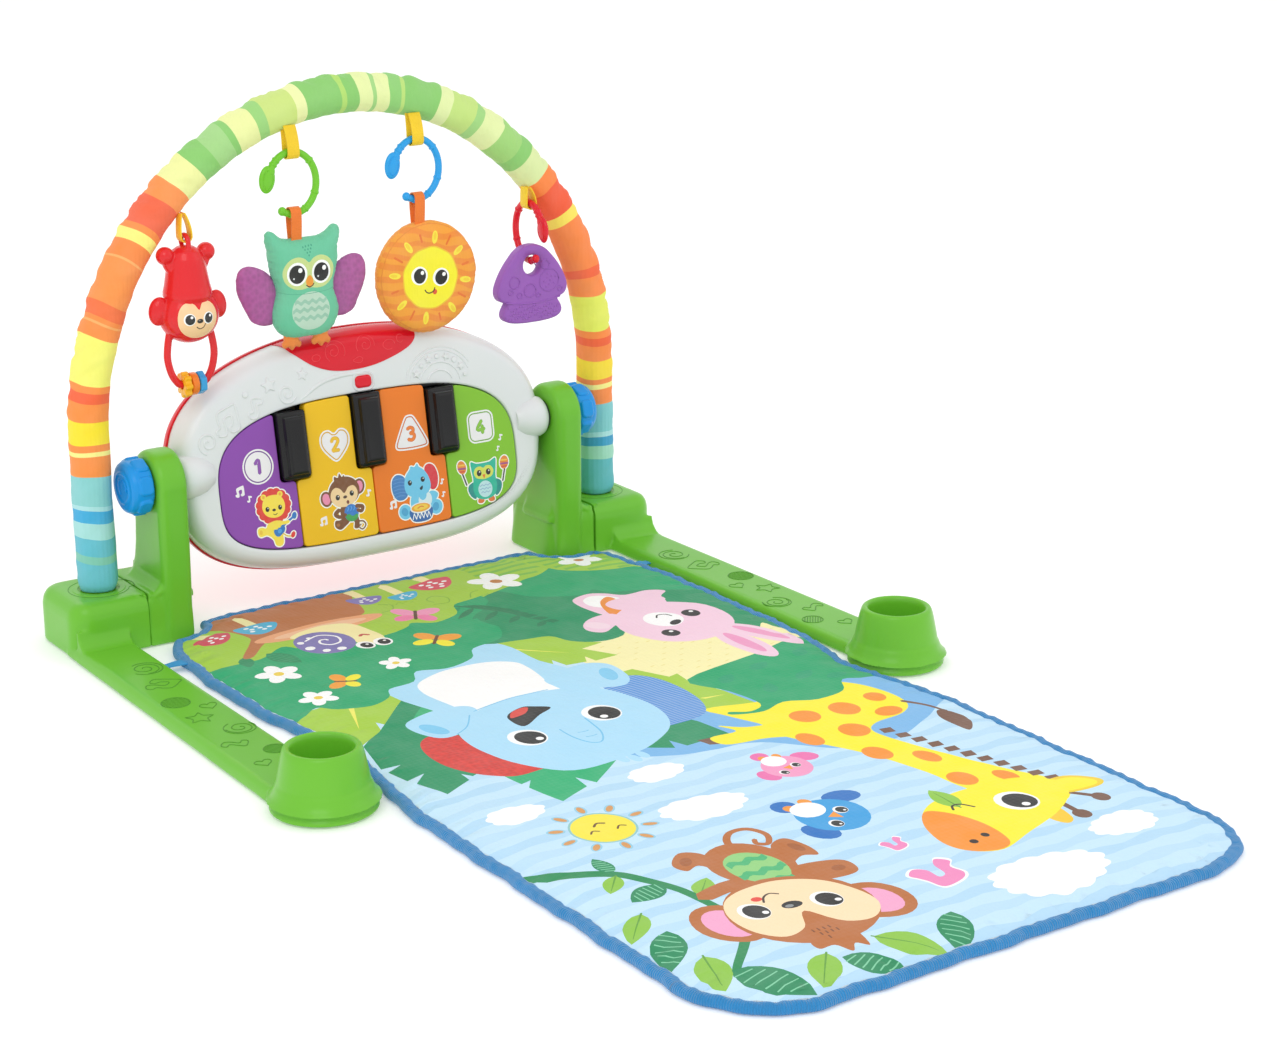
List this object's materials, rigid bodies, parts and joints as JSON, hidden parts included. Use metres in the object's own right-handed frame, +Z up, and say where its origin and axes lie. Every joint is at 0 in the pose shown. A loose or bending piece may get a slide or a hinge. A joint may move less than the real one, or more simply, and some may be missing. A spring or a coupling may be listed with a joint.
{
  "type": "baby activity play gym",
  "caption": "Padded play mat with two green side frames, a fabric-sleeved arch of hanging toys, and a tilting toy keyboard between the posts",
  "frame": {"origin": "centre of the bounding box on the floor plane", "axes": "+X to the right as seen from the foot of the mat, +Y from the foot of the mat towards the arch, +Z up"},
  "size_m": [0.633, 0.956, 0.4757],
  "materials": {
    "green_plastic": "semi-gloss leaf green",
    "blue_plastic": "gloss blue",
    "white_plastic": "gloss white",
    "red_plastic": "gloss red",
    "purple_plastic": "satin purple",
    "yellow_plastic": "satin yellow",
    "orange_plastic": "satin orange",
    "lime_plastic": "satin lime green",
    "black_plastic": "gloss black",
    "tube_plastic": "satin grey, inside the sleeve",
    "violet_rubber": "matt violet silicone",
    "foot_rubber": "matt dark rubber",
    "board": "green laminate",
    "steel": "plain steel",
    "sleeve_fabric": "gathered woven sleeve in coloured bands",
    "mat_fabric": "printed padded mat with a blue binding",
    "strap_fabric": "flat woven strap",
    "owl_fabric": "soft plush",
    "wing_fabric": "crinkle fabric",
    "sun_fabric": "printed plush"
  },
  "bodies": {
    "base": {"side_base_left": "green_plastic", "side_base_right": "green_plastic", "post_left": "green_plastic", "post_right": "green_plastic", "bottom_cover_left": "green_plastic", "bottom_cover_right": "green_plastic", "arch_socket_left": "green_plastic", "arch_socket_right": "green_plastic", "foot_front_left": "foot_rubber", "foot_front_right": "foot_rubber", "foot_middle_left": "foot_rubber", "foot_middle_right": "foot_rubber", "foot_rear_left": "foot_rubber", "foot_rear_right": "foot_rubber", "friction_washer_left": "foot_rubber", "friction_washer_right": "foot_rubber", "play_mat": "mat_fabric", "mat_strap_left": "mat_fabric", "mat_strap_right": "mat_fabric"},
    "arch": {"arch_tube": "tube_plastic", "arch_sleeve": "sleeve_fabric", "strap_green_link": "strap_fabric", "strap_blue_link": "strap_fabric", "strap_red_link": "strap_fabric", "strap_monkey": "strap_fabric"},
    "knob_left": {"knob_left": "blue_plastic", "clamp_bolt_left": "steel"},
    "knob_right": {"knob_right": "blue_plastic", "clamp_bolt_right": "steel"},
    "piano": {"front_housing": "white_plastic", "light_panel": "red_plastic", "back_housing": "red_plastic", "circuit_board": "board", "speaker": "black_plastic", "battery_1": "steel", "battery_2": "steel", "battery_3": "steel"},
    "key_1": {"key_1": "purple_plastic"},
    "key_2": {"key_2": "yellow_plastic"},
    "key_3": {"key_3": "orange_plastic"},
    "key_4": {"key_4": "lime_plastic"},
    "black_key_1": {"black_key_1": "black_plastic"},
    "black_key_2": {"black_key_2": "black_plastic"},
    "black_key_3": {"black_key_3": "black_plastic"},
    "music_button": {"music_button": "red_plastic"},
    "mode_switch": {"mode_switch": "black_plastic"},
    "battery_door": {"battery_door": "red_plastic"},
    "link_green": {"link_green": "lime_plastic"},
    "link_blue": {"link_blue": "blue_plastic"},
    "link_red": {"link_red": "red_plastic"},
    "bead_gear": {"bead_gear": "yellow_plastic"},
    "bead_round": {"bead_round": "orange_plastic"},
    "bead_hex": {"bead_hex": "blue_plastic"},
    "teether": {"teether": "violet_rubber"},
    "monkey": {"monkey_rattle": "red_plastic"},
    "owl": {"owl_body": "owl_fabric", "owl_wing_left": "wing_fabric", "owl_wing_right": "wing_fabric"},
    "sun": {"sun_pad": "sun_fabric"}
  },
  "joints": [
    {"name": "arch_lift", "type": "slide", "parent": "base", "child": "arch", "axis": [0, 0, 1], "range_m": [0, 0.045]},
    {"name": "piano_tilt", "type": "hinge", "parent": "base", "child": "piano", "pos_m": [0, 0.415, 0.14], "axis": [1, 0, 0], "range_deg": [-60, 0]},
    {"name": "knob_left_turn", "type": "hinge", "parent": "base", "child": "knob_left", "pos_m": [-0.229, 0.415, 0.14], "axis": [1, 0, 0], "range_deg": [-180, 180]},
    {"name": "knob_right_turn", "type": "hinge", "parent": "base", "child": "knob_right", "pos_m": [0.229, 0.415, 0.14], "axis": [1, 0, 0], "range_deg": [-180, 180]},
    {"name": "key_1_press", "type": "hinge", "parent": "piano", "child": "key_1", "pos_m": [0, 0.42572, 0.1889], "axis": [1, 0, 0], "range_deg": [0, 1.6], "stiffness_Nm_per_rad": 3, "springref_deg": -0.57},
    {"name": "key_2_press", "type": "hinge", "parent": "piano", "child": "key_2", "pos_m": [0, 0.42572, 0.1889], "axis": [1, 0, 0], "range_deg": [0, 1.6], "stiffness_Nm_per_rad": 3, "springref_deg": -0.57},
    {"name": "key_3_press", "type": "hinge", "parent": "piano", "child": "key_3", "pos_m": [0, 0.42572, 0.1889], "axis": [1, 0, 0], "range_deg": [0, 1.6], "stiffness_Nm_per_rad": 3, "springref_deg": -0.57},
    {"name": "key_4_press", "type": "hinge", "parent": "piano", "child": "key_4", "pos_m": [0, 0.42572, 0.1889], "axis": [1, 0, 0], "range_deg": [0, 1.6], "stiffness_Nm_per_rad": 3, "springref_deg": -0.57},
    {"name": "black_key_1_press", "type": "slide", "parent": "piano", "child": "black_key_1", "axis": [0, 0.9863, -0.165], "range_m": [0, 0.002], "stiffness_N_per_m": 300, "springref_m": -0.0005},
    {"name": "black_key_2_press", "type": "slide", "parent": "piano", "child": "black_key_2", "axis": [0, 0.9863, -0.165], "range_m": [0, 0.002], "stiffness_N_per_m": 300, "springref_m": -0.0005},
    {"name": "black_key_3_press", "type": "slide", "parent": "piano", "child": "black_key_3", "axis": [0, 0.9863, -0.165], "range_m": [0, 0.002], "stiffness_N_per_m": 300, "springref_m": -0.0005},
    {"name": "music_button_press", "type": "slide", "parent": "piano", "child": "music_button", "axis": [0, 0.9863, -0.165], "range_m": [0, 0.0015], "stiffness_N_per_m": 300, "springref_m": -0.0005},
    {"name": "mode_switch_slide", "type": "slide", "parent": "piano", "child": "mode_switch", "axis": [1, 0, 0], "range_m": [-0.0035, 0.0075]},
    {"name": "battery_door_off", "type": "slide", "parent": "piano", "child": "battery_door", "axis": [0, 0.9863, -0.165], "range_m": [0, 0.025]},
    {"name": "green_link_swing", "type": "hinge", "parent": "arch", "child": "link_green", "pos_m": [-0.063, 0.416, 0.4142], "axis": [1, 0, 0], "range_deg": [-45, 0]},
    {"name": "blue_link_swing", "type": "hinge", "parent": "arch", "child": "link_blue", "pos_m": [0.061, 0.416, 0.4142], "axis": [1, 0, 0], "range_deg": [-45, 0]},
    {"name": "red_link_swing", "type": "hinge", "parent": "arch", "child": "link_red", "pos_m": [0.179, 0.416, 0.3442], "axis": [0, 1, 0], "range_deg": [-2, 8]},
    {"name": "owl_swing", "type": "hinge", "parent": "link_green", "child": "owl", "pos_m": [-0.063, 0.416, 0.3598], "axis": [1, 0, 0], "range_deg": [-45, 0]},
    {"name": "sun_swing", "type": "hinge", "parent": "link_blue", "child": "sun", "pos_m": [0.061, 0.416, 0.3598], "axis": [1, 0, 0], "range_deg": [-45, 0]},
    {"name": "teether_swing", "type": "hinge", "parent": "link_red", "child": "teether", "pos_m": [0.179, 0.416, 0.2898], "axis": [0, 1, 0], "range_deg": [-3, 8]},
    {"name": "monkey_swing", "type": "hinge", "parent": "arch", "child": "monkey", "pos_m": [-0.1675, 0.416, 0.353], "axis": [0, 1, 0], "range_deg": [-8, 4.5]},
    {"name": "bead_gear_spin", "type": "hinge", "parent": "monkey", "child": "bead_gear", "pos_m": [-0.1747, 0.416, 0.2225], "axis": [1, 0, 0], "continuous": true},
    {"name": "bead_round_spin", "type": "hinge", "parent": "monkey", "child": "bead_round", "pos_m": [-0.1675, 0.416, 0.2225], "axis": [1, 0, 0], "continuous": true},
    {"name": "bead_hex_spin", "type": "hinge", "parent": "monkey", "child": "bead_hex", "pos_m": [-0.1603, 0.416, 0.2225], "axis": [1, 0, 0], "continuous": true}
  ]
}
